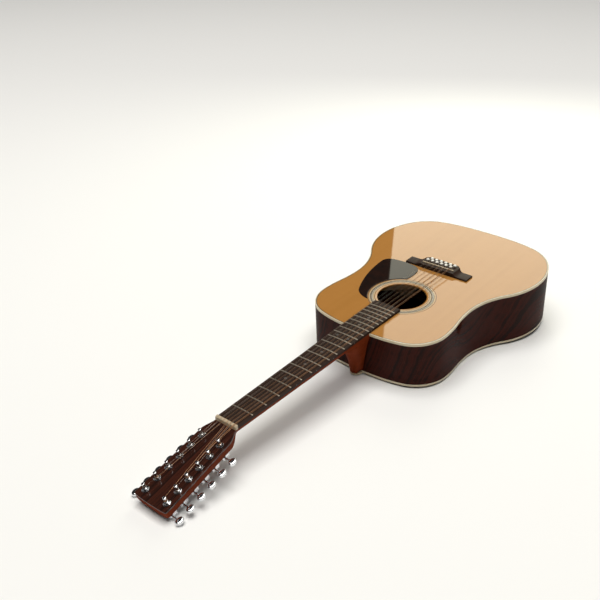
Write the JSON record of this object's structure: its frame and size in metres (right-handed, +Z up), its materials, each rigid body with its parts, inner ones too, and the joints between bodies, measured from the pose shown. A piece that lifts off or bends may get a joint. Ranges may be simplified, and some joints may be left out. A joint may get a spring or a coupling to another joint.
{
  "type": "twelve-string acoustic guitar",
  "caption": "Flat-top dreadnought acoustic guitar with paired strings, slotless head with geared tuning machines, belly bridge and black pickguard, lying on its back.",
  "frame": {"origin": "under the middle of the whole guitar, on the surface that it lies on, back down", "axes": "+Y from the tail to the head, +X to the treble side, +Z up out of the soundboard's face, which leans 3.96 degrees head down"},
  "size_m": [0.4, 1.0587, 0.1367],
  "materials": {
    "spruce_top": "clear gloss lacquer over straight-grained spruce",
    "rosewood_body": "gloss lacquer over dark red-brown rosewood",
    "mahogany_neck": "gloss lacquer over red-brown mahogany",
    "dark_board": "oiled, satin dark rosewood",
    "head_veneer": "gloss lacquer over dark rosewood",
    "spruce_inside": "bare spruce",
    "cream_binding": "polished cream plastic",
    "inlay_lines": "fine dark and light inlay lines",
    "rosette_inlay": "dark and light rings under lacquer",
    "pickguard_black": "polished black",
    "pearl": "grey pearl",
    "bone": "polished bone",
    "white_pin": "polished white",
    "nickel_silver": "polished nickel silver",
    "bronze_wire": "wound bronze",
    "plain_steel": "plain steel wire",
    "chrome": "polished chrome",
    "rod_steel": "bare steel"
  },
  "bodies": {
    "root": {"soundboard": "spruce_top", "back_plates": "rosewood_body", "back_strip": "inlay_lines", "rib_bass": "rosewood_body", "rib_treble": "rosewood_body", "top_binding": "cream_binding", "top_purfling": "inlay_lines", "back_binding": "cream_binding", "rosette": "rosette_inlay", "linings": "spruce_inside", "neck_block": "mahogany_neck", "tail_block": "mahogany_neck", "top_braces": "spruce_inside", "back_braces": "spruce_inside", "bridge_plate": "rosewood_body", "bridge": "dark_board", "saddle": "bone", "bridge_pins": "white_pin", "pickguard": "pickguard_black", "end_pin": "white_pin", "end_graft": "cream_binding", "neck": "mahogany_neck", "heel_cap": "cream_binding", "headstock_overlay": "head_veneer", "fretboard": "dark_board", "frets": "nickel_silver", "position_markers": "pearl", "nut": "bone", "truss_rod": "rod_steel", "strings_wound": "bronze_wire", "strings_plain": "plain_steel", "tuner_housings": "chrome", "tuner_covers": "chrome", "tuner_bushings": "chrome", "tuner_screws": "chrome"},
    "truss_rod_nut": {"truss_rod_nut": "rod_steel"},
    "string_post_01": {"string_post_01": "chrome"},
    "tuning_knob_01": {"tuning_knob_01": "chrome"},
    "string_post_02": {"string_post_02": "chrome"},
    "tuning_knob_02": {"tuning_knob_02": "chrome"},
    "string_post_03": {"string_post_03": "chrome"},
    "tuning_knob_03": {"tuning_knob_03": "chrome"},
    "string_post_04": {"string_post_04": "chrome"},
    "tuning_knob_04": {"tuning_knob_04": "chrome"},
    "string_post_05": {"string_post_05": "chrome"},
    "tuning_knob_05": {"tuning_knob_05": "chrome"},
    "string_post_06": {"string_post_06": "chrome"},
    "tuning_knob_06": {"tuning_knob_06": "chrome"},
    "string_post_07": {"string_post_07": "chrome"},
    "tuning_knob_07": {"tuning_knob_07": "chrome"},
    "string_post_08": {"string_post_08": "chrome"},
    "tuning_knob_08": {"tuning_knob_08": "chrome"},
    "string_post_09": {"string_post_09": "chrome"},
    "tuning_knob_09": {"tuning_knob_09": "chrome"},
    "string_post_10": {"string_post_10": "chrome"},
    "tuning_knob_10": {"tuning_knob_10": "chrome"},
    "string_post_11": {"string_post_11": "chrome"},
    "tuning_knob_11": {"tuning_knob_11": "chrome"},
    "string_post_12": {"string_post_12": "chrome"},
    "tuning_knob_12": {"tuning_knob_12": "chrome"}
  },
  "joints": [
    {"name": "truss_rod_turn", "type": "hinge", "parent": "root", "child": "truss_rod_nut", "pos_m": [0, -0.07451, 0.09773], "axis": [0, 0.9976, -0.069], "range_deg": [-180, 180]},
    {"name": "knob_turn_01", "type": "hinge", "parent": "root", "child": "tuning_knob_01", "pos_m": [-0.0308, 0.39095, 0.04403], "axis": [1, 0, 0], "continuous": true},
    {"name": "post_turn_01", "type": "hinge", "parent": "root", "child": "string_post_01", "pos_m": [-0.0213, 0.39136, 0.06505], "axis": [0, 0.2967, 0.955], "continuous": true},
    {"name": "knob_turn_02", "type": "hinge", "parent": "root", "child": "tuning_knob_02", "pos_m": [-0.03158, 0.4154, 0.03643], "axis": [1, 0, 0], "continuous": true},
    {"name": "post_turn_02", "type": "hinge", "parent": "root", "child": "string_post_02", "pos_m": [-0.02208, 0.4158, 0.05746], "axis": [0, 0.2967, 0.955], "continuous": true},
    {"name": "knob_turn_03", "type": "hinge", "parent": "root", "child": "tuning_knob_03", "pos_m": [-0.03236, 0.43985, 0.02884], "axis": [1, 0, 0], "continuous": true},
    {"name": "post_turn_03", "type": "hinge", "parent": "root", "child": "string_post_03", "pos_m": [-0.02286, 0.44025, 0.04986], "axis": [0, 0.2967, 0.955], "continuous": true},
    {"name": "knob_turn_04", "type": "hinge", "parent": "root", "child": "tuning_knob_04", "pos_m": [-0.03314, 0.46429, 0.02124], "axis": [1, 0, 0], "continuous": true},
    {"name": "post_turn_04", "type": "hinge", "parent": "root", "child": "string_post_04", "pos_m": [-0.02364, 0.4647, 0.04227], "axis": [0, 0.2967, 0.955], "continuous": true},
    {"name": "knob_turn_05", "type": "hinge", "parent": "root", "child": "tuning_knob_05", "pos_m": [-0.03392, 0.48874, 0.01365], "axis": [1, 0, 0], "continuous": true},
    {"name": "post_turn_05", "type": "hinge", "parent": "root", "child": "string_post_05", "pos_m": [-0.02442, 0.48915, 0.03467], "axis": [0, 0.2967, 0.955], "continuous": true},
    {"name": "knob_turn_06", "type": "hinge", "parent": "root", "child": "tuning_knob_06", "pos_m": [-0.0347, 0.51319, 0.00605], "axis": [1, 0, 0], "continuous": true},
    {"name": "post_turn_06", "type": "hinge", "parent": "root", "child": "string_post_06", "pos_m": [-0.0252, 0.51359, 0.02708], "axis": [0, 0.2967, 0.955], "continuous": true},
    {"name": "knob_turn_07", "type": "hinge", "parent": "root", "child": "tuning_knob_07", "pos_m": [0.0308, 0.39095, 0.04403], "axis": [1, 0, 0], "continuous": true},
    {"name": "post_turn_07", "type": "hinge", "parent": "root", "child": "string_post_07", "pos_m": [0.0213, 0.39136, 0.06505], "axis": [0, 0.2967, 0.955], "continuous": true},
    {"name": "knob_turn_08", "type": "hinge", "parent": "root", "child": "tuning_knob_08", "pos_m": [0.03158, 0.4154, 0.03643], "axis": [1, 0, 0], "continuous": true},
    {"name": "post_turn_08", "type": "hinge", "parent": "root", "child": "string_post_08", "pos_m": [0.02208, 0.4158, 0.05746], "axis": [0, 0.2967, 0.955], "continuous": true},
    {"name": "knob_turn_09", "type": "hinge", "parent": "root", "child": "tuning_knob_09", "pos_m": [0.03236, 0.43985, 0.02884], "axis": [1, 0, 0], "continuous": true},
    {"name": "post_turn_09", "type": "hinge", "parent": "root", "child": "string_post_09", "pos_m": [0.02286, 0.44025, 0.04986], "axis": [0, 0.2967, 0.955], "continuous": true},
    {"name": "knob_turn_10", "type": "hinge", "parent": "root", "child": "tuning_knob_10", "pos_m": [0.03314, 0.46429, 0.02124], "axis": [1, 0, 0], "continuous": true},
    {"name": "post_turn_10", "type": "hinge", "parent": "root", "child": "string_post_10", "pos_m": [0.02364, 0.4647, 0.04227], "axis": [0, 0.2967, 0.955], "continuous": true},
    {"name": "knob_turn_11", "type": "hinge", "parent": "root", "child": "tuning_knob_11", "pos_m": [0.03392, 0.48874, 0.01365], "axis": [1, 0, 0], "continuous": true},
    {"name": "post_turn_11", "type": "hinge", "parent": "root", "child": "string_post_11", "pos_m": [0.02442, 0.48915, 0.03467], "axis": [0, 0.2967, 0.955], "continuous": true},
    {"name": "knob_turn_12", "type": "hinge", "parent": "root", "child": "tuning_knob_12", "pos_m": [0.0347, 0.51319, 0.00605], "axis": [1, 0, 0], "continuous": true},
    {"name": "post_turn_12", "type": "hinge", "parent": "root", "child": "string_post_12", "pos_m": [0.0252, 0.51359, 0.02708], "axis": [0, 0.2967, 0.955], "continuous": true}
  ],
  "couplings": [
    {"joint": "post_turn_01", "follows": "knob_turn_01", "ratio": -0.071429},
    {"joint": "post_turn_02", "follows": "knob_turn_02", "ratio": -0.071429},
    {"joint": "post_turn_03", "follows": "knob_turn_03", "ratio": -0.071429},
    {"joint": "post_turn_04", "follows": "knob_turn_04", "ratio": -0.071429},
    {"joint": "post_turn_05", "follows": "knob_turn_05", "ratio": -0.071429},
    {"joint": "post_turn_06", "follows": "knob_turn_06", "ratio": -0.071429},
    {"joint": "post_turn_07", "follows": "knob_turn_07", "ratio": 0.071429},
    {"joint": "post_turn_08", "follows": "knob_turn_08", "ratio": 0.071429},
    {"joint": "post_turn_09", "follows": "knob_turn_09", "ratio": 0.071429},
    {"joint": "post_turn_10", "follows": "knob_turn_10", "ratio": 0.071429},
    {"joint": "post_turn_11", "follows": "knob_turn_11", "ratio": 0.071429},
    {"joint": "post_turn_12", "follows": "knob_turn_12", "ratio": 0.071429}
  ]
}
